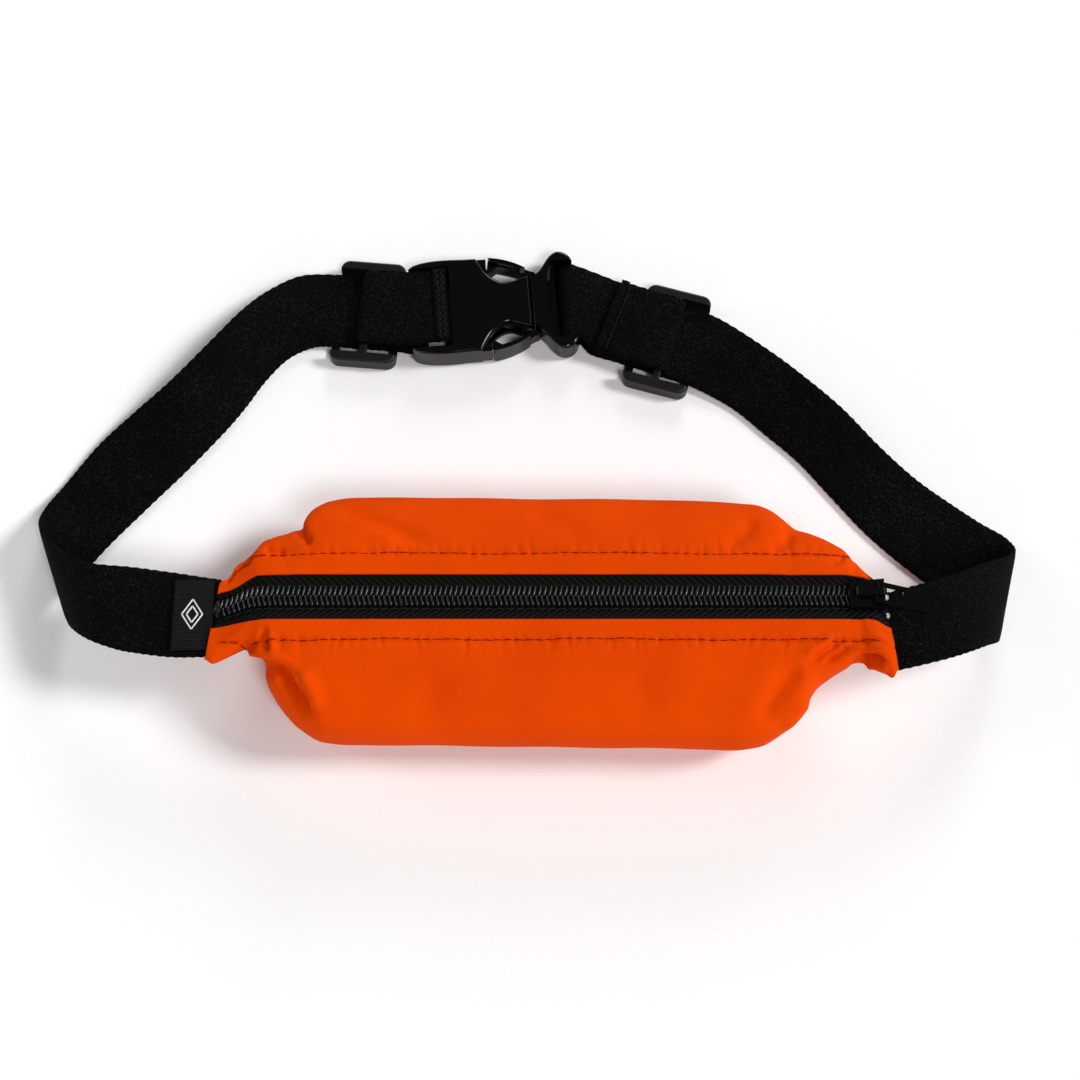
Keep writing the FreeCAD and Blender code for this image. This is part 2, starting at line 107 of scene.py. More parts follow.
def tube_mesh(path, radius, sides=8):
    """Points and faces of one round tube along path, an (n, 3) array."""
    path = np.asarray(path, float)
    tangent = np.gradient(path, axis=0)
    tangent /= np.linalg.norm(tangent, axis=1)[:, None]
    normal = np.cross(tangent, [0.0, 0.0, 1.0])
    upright = np.linalg.norm(normal, axis=1) < 1e-3
    normal[upright] = [0.0, 1.0, 0.0]
    normal /= np.linalg.norm(normal, axis=1)[:, None]
    second = np.cross(tangent, normal)
    angles = np.linspace(0, 2 * math.pi, sides, endpoint=False)
    cos, sin = np.cos(angles)[None, :, None], np.sin(angles)[None, :, None]
    ring = normal[:, None, :] * cos + second[:, None, :] * sin
    points = (path[:, None, :] + radius * ring).reshape(-1, 3)
    faces = grid_faces(len(path), sides, close_columns=True)
    faces.append(tuple(range(sides))[::-1])
    faces.append(tuple(range((len(path) - 1) * sides, len(path) * sides)))
    return points, faces


def joined(name, parts):
    """One object from several (points, faces) parts."""
    points, faces, base = [], [], 0
    for part_points, part_faces in parts:
        points.append(np.asarray(part_points))
        faces += [tuple(i + base for i in f) for f in part_faces]
        base += len(part_points)
    return mesh_object(name, np.concatenate(points), faces)


def lay_uv(obj, name, along, around):
    """A UV map for a grid: along for each row, around for each column."""
    rows, columns = len(along), len(around)
    co = np.stack([np.repeat(along[:, None], columns, 1), np.repeat(around[None, :], rows, 0)], -1)
    index = np.zeros(len(obj.data.loops), np.int32)
    obj.data.loops.foreach_get("vertex_index", index)
    uv = obj.data.uv_layers.new(name=name)
    uv.data.foreach_set("uv", co.reshape(-1, 2)[index].astype(np.float32).ravel())


def thicken(obj, name, thickness, offset):
    solid = obj.modifiers.new(name, "SOLIDIFY")
    solid.thickness = thickness * MM
    solid.offset = offset


# ---- materials --------------------------------------------------------------------------
def new_material(name, color, roughness, **inputs):
    material = bpy.data.materials.new(name)
    material.use_nodes = True
    shader = material.node_tree.nodes["Principled BSDF"]
    shader.inputs["Base Color"].default_value = (*color, 1)
    shader.inputs["Roughness"].default_value = roughness
    for key, value in inputs.items():
        shader.inputs[key.replace("_", " ")].default_value = value
    return material


class Nodes:
    """Short calls for building a node tree."""

    def __init__(self, material):
        self.tree = material.node_tree
        self.shader = self.tree.nodes["Principled BSDF"]

    def add(self, kind, **settings):
        node = self.tree.nodes.new(kind)
        for key, value in settings.items():
            if key in node.inputs:
                node.inputs[key].default_value = value
            else:
                setattr(node, key, value)
        return node

    def link(self, a, b):
        self.tree.links.new(a, b)

    def math(self, operation, *values):
        node = self.add("ShaderNodeMath", operation=operation)
        for i, value in enumerate(values):
            if isinstance(value, (int, float)):
                node.inputs[i].default_value = value
            else:
                self.link(value, node.inputs[i])
        return node.outputs[0]

    def position(self):
        return self.add("ShaderNodeTexCoord").outputs["Object"]

    def uv(self):
        return self.add("ShaderNodeTexCoord").outputs["UV"]

    def noise(self, scale, detail):
        node = self.add("ShaderNodeTexNoise", Scale=scale, Detail=detail, Roughness=0.55)
        self.link(self.position(), node.inputs["Vector"])
        return node.outputs["Fac"]

    def ramp(self, value, low, high):
        node = self.add("ShaderNodeValToRGB")
        node.color_ramp.elements[0].position = low[0]
        node.color_ramp.elements[0].color = (*low[1], 1)
        node.color_ramp.elements[1].position = high[0]
        node.color_ramp.elements[1].color = (*high[1], 1)
        self.link(value, node.inputs["Fac"])
        return node.outputs["Color"]

    def wave(self, vector, scale, direction="X"):
        node = self.add("ShaderNodeTexWave", Scale=scale, bands_direction=direction)
        self.link(vector, node.inputs["Vector"])
        return node.outputs["Fac"]

    def bump(self, height, distance, strength):
        """One more layer of relief on top of what the shader has."""
        node = self.add("ShaderNodeBump", Distance=distance, Strength=strength)
        self.link(height, node.inputs["Height"])
        previous = self.shader.inputs["Normal"]
        if previous.is_linked:
            self.link(previous.links[0].from_socket, node.inputs["Normal"])
        self.link(node.outputs["Normal"], previous)


WAVE = 0.314                        # a wave texture's period at scale 1
SHELL_THREAD = 0.00042              # spacing of the shell's threads, in metres as its UV map is
WEB_UV = 100.0                      # the webbing's UV map has one unit per 100 mm
WEB_RIB = 1.25
WEB_FLOAT = 0.75


def shell_fabric():
    """Smooth stretch weave: fine crossed threads, faint cloudiness."""
    material = new_material("shell_fabric", (0.74, 0.060, 0.0), 0.72, Specular_IOR_Level=0.02)
    n = Nodes(material)
    cloud = n.noise(38.0, 3.0)
    color = n.ramp(cloud, (0.30, (0.70, 0.054, 0.0)), (0.72, (0.78, 0.065, 0.0)))
    n.link(color, n.shader.inputs["Base Color"])
    warp = n.wave(n.uv(), WAVE / SHELL_THREAD, "X")
    weft = n.wave(n.uv(), WAVE / SHELL_THREAD, "Y")
    n.bump(n.math("MULTIPLY", warp, weft), 0.00007, 0.5)
    n.bump(n.noise(700.0, 3.0), 0.00008, 0.4)
    return material


def twill(name, color, turn, pitch=0.0014):
    """Woven tape with slanting ribs, darker between them."""
    material = new_material(name, color, 0.75, Specular_IOR_Level=0.10)
    n = Nodes(material)
    mapping = n.add("ShaderNodeMapping")
    mapping.inputs["Rotation"].default_value = (0, 0, turn)
    n.link(n.position(), mapping.inputs["Vector"])
    ribs = n.wave(mapping.outputs["Vector"], WAVE / pitch)
    dark, pale = (tuple(c * k for c in color) for k in (0.25, 2.6))
    n.link(n.ramp(ribs, (0.35, dark), (0.95, pale)), n.shader.inputs["Base Color"])
    n.bump(ribs, 0.00025, 0.9)
    n.bump(n.noise(2500.0, 1.0), 0.00008, 0.5)
    return material


def webbing_knit():
    """Elastic webbing: ribs along its length, short floats across, paler flecks."""
    material = new_material("webbing_knit", (0.0015, 0.0018, 0.0021), 0.85, Specular_IOR_Level=0.05)
    n = Nodes(material)
    uv = n.uv()
    ribs = n.wave(uv, WAVE / (WEB_RIB / WEB_UV), "Y")
    floats = n.wave(uv, WAVE / (WEB_FLOAT / WEB_UV), "X")
    flecks = n.noise(1300.0, 2.0)
    cloud = n.noise(60.0, 2.0)
    spread = n.math("MULTIPLY", flecks, n.math("MULTIPLY_ADD", cloud, 0.35, 0.82))
    color = n.ramp(spread, (0.50, (0.0009, 0.0011, 0.0014)), (0.78, (0.0100, 0.0110, 0.0118)))
    n.link(color, n.shader.inputs["Base Color"])
    n.bump(n.math("MULTIPLY", ribs, floats), 0.00028, 0.9)
    n.bump(flecks, 0.00022, 0.8)
    return material


def gloss_plastic(name, color, roughness, level):
    """Smooth moulded plastic or lacquer with slight waves and an uneven gloss."""
    material = new_material(name, color, roughness, Specular_IOR_Level=level)
    n = Nodes(material)
    n.bump(n.noise(240.0, 2.0), 0.00004, 0.25)
    rough = n.math("MULTIPLY_ADD", n.noise(60.0, 4.0), 0.10, roughness - 0.03)
    n.link(rough, n.shader.inputs["Roughness"])
    return material


def satin_plastic():
    """Moulded plastic with a fine spark-eroded grain."""
    material = new_material("adjuster_acetal", (0.0045, 0.0045, 0.0046), 0.40, Specular_IOR_Level=0.26)
    n = Nodes(material)
    n.bump(n.noise(1800.0, 3.0), 0.00006, 0.6)
    return material


def thread(name, color):
    """Twisted sewing thread."""
    material = new_material(name, color, 0.8, Specular_IOR_Level=0.12)
    n = Nodes(material)
    n.bump(n.wave(n.position(), WAVE / 0.0005), 0.00008, 0.6)
    return material


def bright_steel():
    material = new_material("bright_steel", (0.70, 0.69, 0.67), 0.22, Metallic=1.0)
    n = Nodes(material)
    n.bump(n.noise(900.0, 2.0), 0.00004, 0.5)
    return material


def plain_floor():
    return new_material("floor_white", (0.97, 0.97, 0.97), 0.9)


MATERIALS = {
    "shell": shell_fabric(),
    "tape_upper": twill("zipper_twill_upper", (0.0021, 0.0021, 0.0018), -0.908),
    "tape_lower": twill("zipper_twill_lower", (0.0028, 0.0028, 0.0023), 0.908),
    "coil": gloss_plastic("zipper_coil_nylon", (0.002, 0.002, 0.002), 0.22, 0.75),
    # the coil's real core cord, which also serves as a dark sheet of painted shade under the coil's turns
    "cord": thread("coil_cord_and_painted_shade", (0.0012, 0.0012, 0.0012)),
    "web": webbing_knit(),
    "buckle": gloss_plastic("buckle_acetal", (0.0011, 0.0011, 0.0010), 0.09, 0.32),
    "adjuster": satin_plastic(),
    "lacquer": gloss_plastic("black_lacquer", (0.0022, 0.0022, 0.0022), 0.14, 0.26),
    "tab": gloss_plastic("tab_lacquer", (0.0022, 0.0022, 0.0022), 0.20, 0.16),
    "steel": bright_steel(),
    "seam_thread": thread("seam_thread", (0.20, 0.008, 0.0)),
    "black_thread": thread("black_thread", (0.016, 0.018, 0.020)),
    "label": twill("label_satin", (0.006, 0.006, 0.0065), 1.571, 0.0006),
    "label_mark": thread("label_mark_thread", (0.75, 0.75, 0.74)),
}


def dress(obj, material):
    obj.data.materials.clear()
    obj.data.materials.append(MATERIALS[material])


# ---- pouch ------------------------------------------------------------------------------
# Outlines and folds are given in the plane that faces a viewer LOOK above the table:
# x along the pouch, and w up that plane.
LOOK = math.radians(67.0)
LOOK_Y, LOOK_Z = math.sin(LOOK), math.cos(LOOK)

# Stations along the pouch: x, its far and near outline in w, and its lowest and highest height
STATIONS = [
    (-97.0, 18.4, -3.6, 27.0, 32.0), (-95.0, 19.6, -4.8, 25.6, 32.3), (-93.0, 22.8, -4.0, 24.0, 32.9),
    (-90.0, 24.8, -2.4, 22.2, 33.9), (-86.6, 27.4, -0.9, 20.6, 35.0), (-84.4, 29.8, -3.4, 17.2, 35.2),
    (-81.0, 31.3, -12.6, 9.5, 35.6), (-75.4, 33.2, -21.0, 4.0, 35.8), (-73.4, 34.6, -23.2, 2.8, 35.9),
    (-71.4, 38.2, -24.8, 1.8, 35.8), (-67.0, 41.6, -27.6, 0.7, 35.9), (-62.5, 42.7, -28.5, 0.1, 36.0),
    (-52.0, 43.0, -28.7, 0.1, 36.1), (-25.0, 43.0, -29.0, 0.1, 36.2), (0.0, 42.9, -29.3, 0.1, 36.3),
    (25.0, 42.6, -29.6, 0.1, 36.2), (45.0, 41.9, -29.9, 0.1, 36.1), (56.0, 41.4, -30.0, 0.1, 36.0),
    (62.5, 40.6, -28.6, 0.4, 35.9), (66.0, 38.7, -26.4, 1.4, 35.8), (69.5, 35.7, -23.6, 3.0, 35.7),
    (72.0, 33.8, -20.4, 5.0, 35.9), (76.0, 32.4, -13.6, 9.5, 35.8), (80.0, 30.8, -9.8, 14.5, 35.7),
    (84.0, 28.7, -6.9, 18.5, 35.6), (86.4, 27.2, -5.3, 20.4, 35.4), (88.4, 24.6, -5.0, 21.6, 35.2),
    (91.0, 21.8, -5.8, 23.2, 36.0), (94.0, 19.4, -7.6, 25.2, 35.4), (95.9, 17.4, -8.4, 26.3, 34.0),
    (97.0, 16.0, -6.4, 27.0, 32.8),
]
AROUND = 301                        # points round a section
ALONG = 561                         # sections along the pouch
LIP_NEAR, LIP_FAR = -6.4, 7.4       # y of the fabric's edges beside the zipper
STITCH_NEAR, STITCH_FAR = -12.3, 14.2

# Folds: points (x, w), half width, and how far the cloth stands in (-) or out (+)
FOLDS = [
    ([(-86.0, -3.6), (-82.0, -5.0), (-77.0, -6.6), (-73.6, -10.6), (-70.8, -15.6), (-67.6, -21.5)],
     2.4, -4.6),
    ([(-88.0, -1.0), (-82.5, -1.8), (-77.5, -2.6), (-72.4, -3.8)], 1.5, 2.2),
    ([(-71.8, -5.0), (-68.2, -11.0), (-64.6, -18.0)], 2.6, 1.9),
    ([(-81.2, 6.4), (-81.4, 2.6), (-80.4, -1.8)], 1.1, -1.9),
    ([(-79.4, 5.6), (-79.0, 1.8), (-78.2, -1.8)], 1.0, 1.0),
    ([(-64.5, 39.4), (-52.0, 36.4), (-44.0, 33.6), (-33.0, 29.4)], 2.1, -1.6),
    ([(-60.0, 36.0), (-50.0, 32.2), (-42.0, 29.0)], 2.3, 1.0),
    ([(-73.6, 35.4), (-72.4, 32.6), (-69.0, 29.4)], 1.4, -2.4),
    ([(-84.0, 28.6), (-80.6, 27.8), (-76.0, 27.6)], 0.9, -1.5),
    ([(-92.8, 21.4), (-90.4, 23.4), (-87.2, 24.6)], 0.8, -1.7),
    ([(-95.4, 17.6), (-93.6, 20.0), (-92.4, 22.0)], 0.7, -1.5),
    ([(86.2, 1.0), (82.4, -1.6), (77.4, -5.0)], 1.2, -2.0),
    ([(83.0, 2.6), (79.0, -0.6), (73.6, -4.4)], 1.4, -1.9),
    ([(81.4, 3.4), (76.6, 1.0), (71.0, -2.4)], 1.5, 1.1),
    ([(86.4, -5.4), (88.8, -2.9), (90.8, -2.7), (93.6, -4.0)], 1.0, -2.6),
    ([(88.6, -5.8), (91.4, -5.2), (94.6, -6.6)], 0.9, 1.1),
    ([(72.0, -4.4), (66.0, -10.0), (62.0, -17.0), (60.0, -23.0)], 3.4, -2.6),
    ([(73.6, -13.6), (70.0, -19.0), (65.6, -24.0)], 2.2, 1.5),
    ([(71.4, 34.0), (68.0, 30.4), (63.0, 27.4)], 2.0, -1.5),
    ([(60.5, 37.5), (56.0, 32.5), (50.0, 28.8)], 2.4, -1.2),
    ([(86.2, 26.8), (83.4, 24.6), (79.6, 23.4)], 1.0, -0.9),
    ([(-30.0, -6.0), (-34.0, -14.0), (-36.0, -24.0)], 5.0, -0.8),
    ([(24.0, -4.0), (27.0, -13.0), (27.0, -25.0)], 5.5, -0.8),
    ([(-8.0, 40.0), (4.0, 35.0), (12.0, 30.0)], 3.2, -0.8),
]


def station_values(x):
    """Far and near outline, lowest and highest height at x."""
    xs = [s[0] for s in STATIONS]
    return [curve_through(xs, [s[i] for s in STATIONS], x) for i in range(1, 5)]


def zipper_level(x):
    """Height of the zipper tape along the pouch: level, but sinking into both end seams."""
    return TAPE_TOP - 4.6 * ease((-x - 80) / 17) - 4.2 * ease((x - 91.5) / 7)


def zip_line(x):
    """The zipper's centre line, which bends towards the wearer at both ends."""
    return ZIP_Y - 2.6 * ease((-x - 84) / 13) - 1.5 * ease((x - 90) / 8)


def narrowing(x, side):
    """The cloth gathers beside the zipper at the end seams, but not on the near side at the slider."""
    gathered = np.abs(x) if side > 0 else -x
    return 1 - 0.20 * ease((gathered - 84) / 12)


def section_sizes(x):
    """Centre, half sizes and roundness of the section that has the stations' outline."""
    far, near, low, high = station_values(x)
    power = 2.7 + 0.3 * ease((np.abs(x) - 60) / 37)
    dual = power / (power - 1)
    centre, tall = (low + high) / 2, (high - low) / 2
    middle = ((far + near) / 2 - LOOK_Z * centre) / LOOK_Y
    reach = (far - near) / 2
    half = np.maximum(reach**dual - (LOOK_Z * tall)**dual, 1.0) ** (1 / dual) / LOOK_Y
    return middle, half, centre, tall, power


def pouch_points():
    """The cloth from the near lip, down round the base and up to the far lip, along the pouch."""
    x = np.linspace(-SEAM_X, SEAM_X, ALONG)
    middle, half, centre, tall, power = section_sizes(x)
    turns = []
    for lip in (LIP_NEAR, LIP_FAR):
        offset = lip - ZIP_Y
        share = np.clip((zip_line(x) + offset * narrowing(x, offset) - middle) / half, -0.98, 0.98)
        turns.append(np.arccos(np.sign(share) * np.abs(share) ** (power / 2)))
    start, end = turns[0], 2 * math.pi + turns[1]
    angle = start[:, None] + (end - start)[:, None] * np.linspace(0, 1, 1201)[None, :]
    c, s = np.cos(angle), np.sin(angle)
    shape = (2 / power)[:, None]
    y = middle[:, None] + half[:, None] * np.sign(c) * np.abs(c) ** shape
    z = centre[:, None] + tall[:, None] * np.sign(s) * np.abs(s) ** shape
    points = np.empty((ALONG, AROUND, 3))
    for i in range(ALONG):
        step = np.hypot(np.diff(y[i]), np.diff(z[i]))
        length = np.concatenate([[0], np.cumsum(step)])
        even = np.linspace(0, length[-1], AROUND)
        points[i, :, 0] = x[i]
        points[i, :, 1] = np.interp(even, length, y[i])
        points[i, :, 2] = np.interp(even, length, z[i])
    return points


def grid_normals(points):
    """The way out of the cloth at every point."""
    normal = np.cross(np.gradient(points, axis=1), np.gradient(points, axis=0))
    return normal / np.maximum(np.linalg.norm(normal, axis=2), 1e-9)[..., None]


def along_fold(x, w, line):
    """Distance from a bent line, and the share of its length passed, for every point."""
    line = np.asarray(line, float)
    lengths = np.linalg.norm(np.diff(line, axis=0), axis=1)
    begin = np.concatenate([[0], np.cumsum(lengths)])
    best = np.full(x.shape, 1e9)
    place = np.zeros(x.shape)
    for a, b, length, s in zip(line[:-1], line[1:], lengths, begin):
        t = np.clip(((x - a[0]) * (b[0] - a[0]) + (w - a[1]) * (b[1] - a[1])) / length**2, 0, 1)
        gap = np.hypot(x - a[0] - t * (b[0] - a[0]), w - a[1] - t * (b[1] - a[1]))
        place = np.where(gap < best, (s + t * length) / begin[-1], place)
        best = np.minimum(gap, best)
    return best, place


def stitch_gap(points):
    """Distance in y from each seam line, near and far, on the top of the pouch."""
    x = points[..., 0]
    return [points[..., 1] - zip_line(x) - (line - ZIP_Y) * narrowing(x, line - ZIP_Y)
            for line in (STITCH_NEAR, STITCH_FAR)]


DOUBLE_CLOTH = 0.45                 # how far the doubled cloth beside the zipper stands out
SEAM_SINK, SEAM_HALF = 0.55, 0.65   # depth and half width of the groove along a stitched seam
PUCKER_PITCH = 3.1
PUCKER_DEPTH = (0.08, 0.42)
PUCKER_INNER = 1.6                  # how far a pucker reaches towards the zipper
SLOW_WAVE, CROSS_WAVE = 0.22, 0.10


def sculpt(points):
    """Folds, the double cloth beside the zipper, puckers along the stitching and slow waves."""
    normal = grid_normals(points)
    x = points[..., 0]
    w = LOOK_Y * points[..., 1] + LOOK_Z * points[..., 2]
    facing = normal[..., 1] * -LOOK_Z + normal[..., 2] * LOOK_Y
    seen = ease((facing + 0.35) / 0.45)
    push = np.zeros(x.shape)
    for line, half_width, depth in FOLDS:
        gap, place = along_fold(x, w, line)
        fade = ease(np.minimum(place, 1 - place) / 0.30)
        push += depth * np.exp(-(gap / half_width) ** 2) * (0.15 + 0.85 * fade) * seen
    top = ease((normal[..., 2] - 0.3) / 0.4)
    near_gap, far_gap = stitch_gap(points)
    inner = np.minimum(near_gap, -far_gap)
    push += DOUBLE_CLOTH * ease(inner / 0.9) * top
    for gap in (near_gap, far_gap):
        push -= SEAM_SINK * np.exp(-(gap / SEAM_HALF) ** 2) * top
    rng = np.random.default_rng(11)
    for gap, level in ((near_gap, STITCH_NEAR), (far_gap, STITCH_FAR)):
        outward = gap * np.sign(level)
        places = np.arange(-88, 90, PUCKER_PITCH)
        for centre in places + rng.uniform(-1.2, 1.2, len(places)):
            wide = rng.uniform(0.6, 1.1)
            reach = rng.uniform(1.8, 4.2)
            lean = rng.uniform(-0.35, 0.35)
            depth = rng.uniform(*PUCKER_DEPTH)
            across = np.exp(-((x - centre - lean * gap) / wide) ** 2)
            outside = np.exp(-(np.maximum(outward, 0) / reach) ** 2)
            inside = np.exp(-(np.minimum(outward, 0) / PUCKER_INNER) ** 2)
            push -= depth * across * outside * inside * top
    push += SLOW_WAVE * np.sin(x / 13.0 + w / 9.0) * np.sin(w / 7.0 + 1.0) * seen
    push += CROSS_WAVE * np.sin(x / 5.1 - w / 6.0) * seen
    end = ease((SEAM_X - np.abs(x)) / 3.0)
    flat = 1 - ease((1.5 - points[..., 2]) / 1.5)
    return points + normal * (push * (0.25 + 0.75 * end) * flat)[..., None]


LIP_OVER_TAPE = 2.2                 # how far the cloth may stand over the zipper tape
LIP_REACH = 8.5                     # and how far out from the zipper that holds
SEAM_ASKEW = 1.7                    # how far the ends of an end seam lie from square


def droop(points):
    """The top follows the zipper down at both ends, and the end seams lie askew."""
    x, y, z = points[..., 0], points[..., 1], points[..., 2]
    beside = np.exp(-(np.maximum(np.abs(y - zip_line(x)) - LIP_REACH, 0) / 3.0) ** 2)
    sink = np.minimum(zipper_level(x) + LIP_OVER_TAPE - z, 0) * beside * (z > 24)
    w = LOOK_Y * y + LOOK_Z * z
    askew = ease((np.abs(x) - 78) / 19) * np.sign(x) * np.clip((6.5 - w) / 12.5, -1, 1) * SEAM_ASKEW
    return np.stack([x + askew, y, z + sink], axis=-1)


def close_ends(points):
    """Rolled end seams: the last rows close onto the webbing sewn between them."""
    rows = []
    for row, way in ((points[0], -1), (points[-1], 1)):
        shut = row.copy()
        shut[:, 2] = row[:, 2].mean() + (row[:, 2] - row[:, 2].mean()) * 0.25
        shut[:, 0] += way * 0.35
        rows.append(shut[None])
    return np.concatenate([rows[0], points, rows[1]])


def make_pouch():
    """The pouch's skin; the points come back for the stitching to follow."""
    points = droop(sculpt(pouch_points()))
    points[..., 2] = np.maximum(points[..., 2], 0.05)
    points = close_ends(points)
    rows = len(points)
    obj = mesh_object("pouch_fabric", points.reshape(-1, 3), grid_faces(rows, AROUND))
    lay_uv(obj, "weave", np.linspace(0, 2 * SEAM_X * MM, rows), np.linspace(0, 0.195, AROUND))
    thicken(obj, "fabric_thickness", 0.8, -1.0)
    dress(obj, "shell")
    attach(obj, "root")
    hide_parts("pouch_shell")
    return points


pouch_skin = make_pouch()


def top_point(x, y):
    """The point on top of the pouch at x and y."""
    row = int(np.clip(np.searchsorted(pouch_skin[:, 0, 0], x), 2, len(pouch_skin) - 3))
    line = pouch_skin[row]
    part = line[:np.argmin(line[:, 1]) + 1] if y < ZIP_Y else line[np.argmax(line[:, 1]):]
    return np.array([x, y, np.interp(y, part[::-1, 1], part[::-1, 2])])


STITCH_PITCH, STITCH_GAP = 2.9, 0.4
STITCH_RISE, STITCH_DIP = 0.312, 0.14
STITCH_THREAD = 0.15
STITCH_POINTS = 7


def stitch_line(name, y_line, first, last):
    """Topstitching: short threads that dip into the cloth at both ends, a little uneven."""
    rng = np.random.default_rng(5)
    arc = np.sin(np.linspace(0, math.pi, STITCH_POINTS))
    parts = []
    x = first
    while x < last:
        wander = 0.22 * math.sin(x / 9.0) + 0.12 * math.sin(x / 2.7)
        stations = np.linspace(x, x + STITCH_PITCH - STITCH_GAP, STITCH_POINTS)
        side = rng.uniform(-0.09, 0.09)
        path = []
        for k, place in enumerate(stations):
            offset = y_line + wander - ZIP_Y
            y = float(zip_line(place) + offset * narrowing(place, offset)) + side * (k / 3 - 1)
            path.append(top_point(place, y) + [0, 0, STITCH_RISE * arc[k] - STITCH_DIP])
        parts.append(tube_mesh(path, STITCH_THREAD, 6))
        x += STITCH_PITCH
    obj = joined(name, parts)
    dress(obj, "seam_thread")
    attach(obj, "root")


stitch_line("near_topstitch", STITCH_NEAR, -94.5, 95.0)
stitch_line("far_topstitch", STITCH_FAR, -87.0, 84.5)


# ---- zipper -----------------------------------------------------------------------------
PITCH = 1.5                         # one turn of the coil
COIL_AT, COIL_HALF = 1.40, 1.48     # a turn's centre and half width, out from the zipper's line
COIL_LEAN = 0.6
COIL_LEVEL, COIL_TALL = 0.86, 0.66  # its centre and half height over the tape
WIRE = 0.36                         # radius of the coil's wire
CORD_AT, CORD_LEVEL = 1.62, 0.88
SHADE_CORD_FLAT = 3.6                     # the cord's width over its height, widened so its dark thread covers the turns' lower halves as painted shade
LOCK_STITCH = 2.5
LOCK_PITCH = 3.0
LOCK_AT = 3.5                       # the lock stitches' distance from the zipper's line
LOCK_THREAD = 0.17


def zipper_piece(obj, material, slot, *nodes):
    dress(obj, material)
    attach(obj, "root")
    if nodes:
        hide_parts(*nodes)


def make_tape(side):
    """One half of the tape, from the chain to under the cloth, trimmed where the ends narrow."""
    name = "upper" if side > 0 else "lower"
    xs = np.linspace(-96.6, 97.0, 200)
    across = np.array([0.3, 1.2, 2.6, 3.8, 4.8, 6.0, 7.4, 9.0])
    lift = 0.9 * ease((across - 3.9) / 2.4)
    points = []
    for x in xs:
        if side > 0:
            trim = 1 - 0.24 * ease((abs(x) - 84) / 10)
        else:
            trim = 1 - 0.14 * ease((-x - 84) / 10)
        for a, up in zip(across, lift):
            reach = a * trim if a > 5 else a
            points.append((x, zip_line(x) + side * reach * narrowing(x, side), zipper_level(x) + up))
    obj = mesh_object(name + "_tape_cloth", points, grid_faces(len(xs), len(across)))
    thicken(obj, "tape_thickness", 0.5, float(side))
    zipper_piece(obj, "tape_" + name, "zipper_tape", name + "_zipper_tape")


def make_coil(side):
    """One nylon coil: flattened turns round a cord, meshing with the other side's. The cord is flattened
    wide so its dark thread covers the turns' lower halves, as painted shade between the top strands.
    """
    name = "upper" if side > 0 else "lower"
    first, last = -96.4, 90.4
    turns = int((last - first) / PITCH)
    t = np.arange(turns * 20 + 1) / 20
    phase = 2 * math.pi * t + (0 if side > 0 else math.pi)
    c, s = np.cos(phase), np.sin(phase)
    x = first + PITCH * t + COIL_LEAN * c
    y = zip_line(x) + side * narrowing(x, side) * (COIL_AT + COIL_HALF * c)
    z = zipper_level(x) + COIL_LEVEL + COIL_TALL * np.clip(1.5 * s, -1, 1)
    turns_mesh = joined(name + "_coil_turns", [tube_mesh(np.stack([x, y, z], 1), WIRE)])
    zipper_piece(turns_mesh, "coil", "zipper_coil", name + "_zipper_coil")
    # A real core cord, flattened wide into a dark sheet: painted shade that hides the turns' lower halves
    core_x = np.arange(first, last, 1.0)
    core_y = zip_line(core_x) + side * narrowing(core_x, side) * CORD_AT
    core = np.stack([core_x, core_y, zipper_level(core_x) + CORD_LEVEL], 1)
    sides = 12
    points, faces = tube_mesh(core, WIRE, sides)
    middle = np.repeat(core_y, sides)
    points[:, 1] = middle + (points[:, 1] - middle) * SHADE_CORD_FLAT
    zipper_piece(joined(name + "_coil_cord_and_painted_shade", [(points, faces)]), "cord", "zipper_coil")


def make_sewing(side):
    """The row of lock stitches that holds the coil to the tape."""
    name = "upper" if side > 0 else "lower"
    parts = []
    for x in np.arange(-94.0, 90.0, LOCK_PITCH):
        xs = np.linspace(x, x + LOCK_STITCH, 5)
        ys = zip_line(xs) + side * narrowing(xs, side) * LOCK_AT
        zs = zipper_level(xs) + 0.22 + 0.16 * np.sin(np.linspace(0, math.pi, 5))
        parts.append(tube_mesh(np.stack([xs, ys, zs], 1), LOCK_THREAD, 6))
    zipper_piece(joined(name + "_coil_sewing", parts), "black_thread", "zipper_tape")


def clamp_mesh(x0, x1, y0, y1, z0, z1):
    """A small clamp with rounded edges."""
    work = bmesh.new()
    bmesh.ops.create_cube(work, size=1.0)
    for v in work.verts:
        v.co = Vector(((x0 + x1) / 2 + v.co.x * (x1 - x0), (y0 + y1) / 2 + v.co.y * (y1 - y0),
                       (z0 + z1) / 2 + v.co.z * (z1 - z0)))
    bmesh.ops.bevel(work, geom=list(work.edges), offset=0.3, segments=3, affect="EDGES")
    work.verts.index_update()
    points = [tuple(v.co) for v in work.verts]
    faces = [tuple(v.index for v in f.verts) for f in work.faces]
    work.free()
    return points, faces


def make_stops():
    """The clamp across the closed end, and one on each tape at the slider's end."""
    level = float(zipper_level(-95.4))
    middle = float(zip_line(-95.4))
    clamp = clamp_mesh(-96.0, -94.6, middle - 2.6, middle + 2.6, level + 0.2, level + 2.1)
    bottom = joined("chain_end_clamp", [clamp])
    zipper_piece(bottom, "lacquer", "zipper_stop", "zipper_bottom_stop")
    level = float(zipper_level(96.4))
    middle = float(zip_line(96.4))
    tops = []
    for y in (2.2, -3.4):
        tops.append(clamp_mesh(95.6, 97.2, middle + y - 0.8, middle + y + 0.8, level - 0.6, level + 1.4))
    zipper_piece(joined("slider_end_clamps", tops), "steel", "zipper_stop", "zipper_top_stops")


for side in (1, -1):
    make_tape(side)
    make_coil(side)
    make_sewing(side)
make_stops()


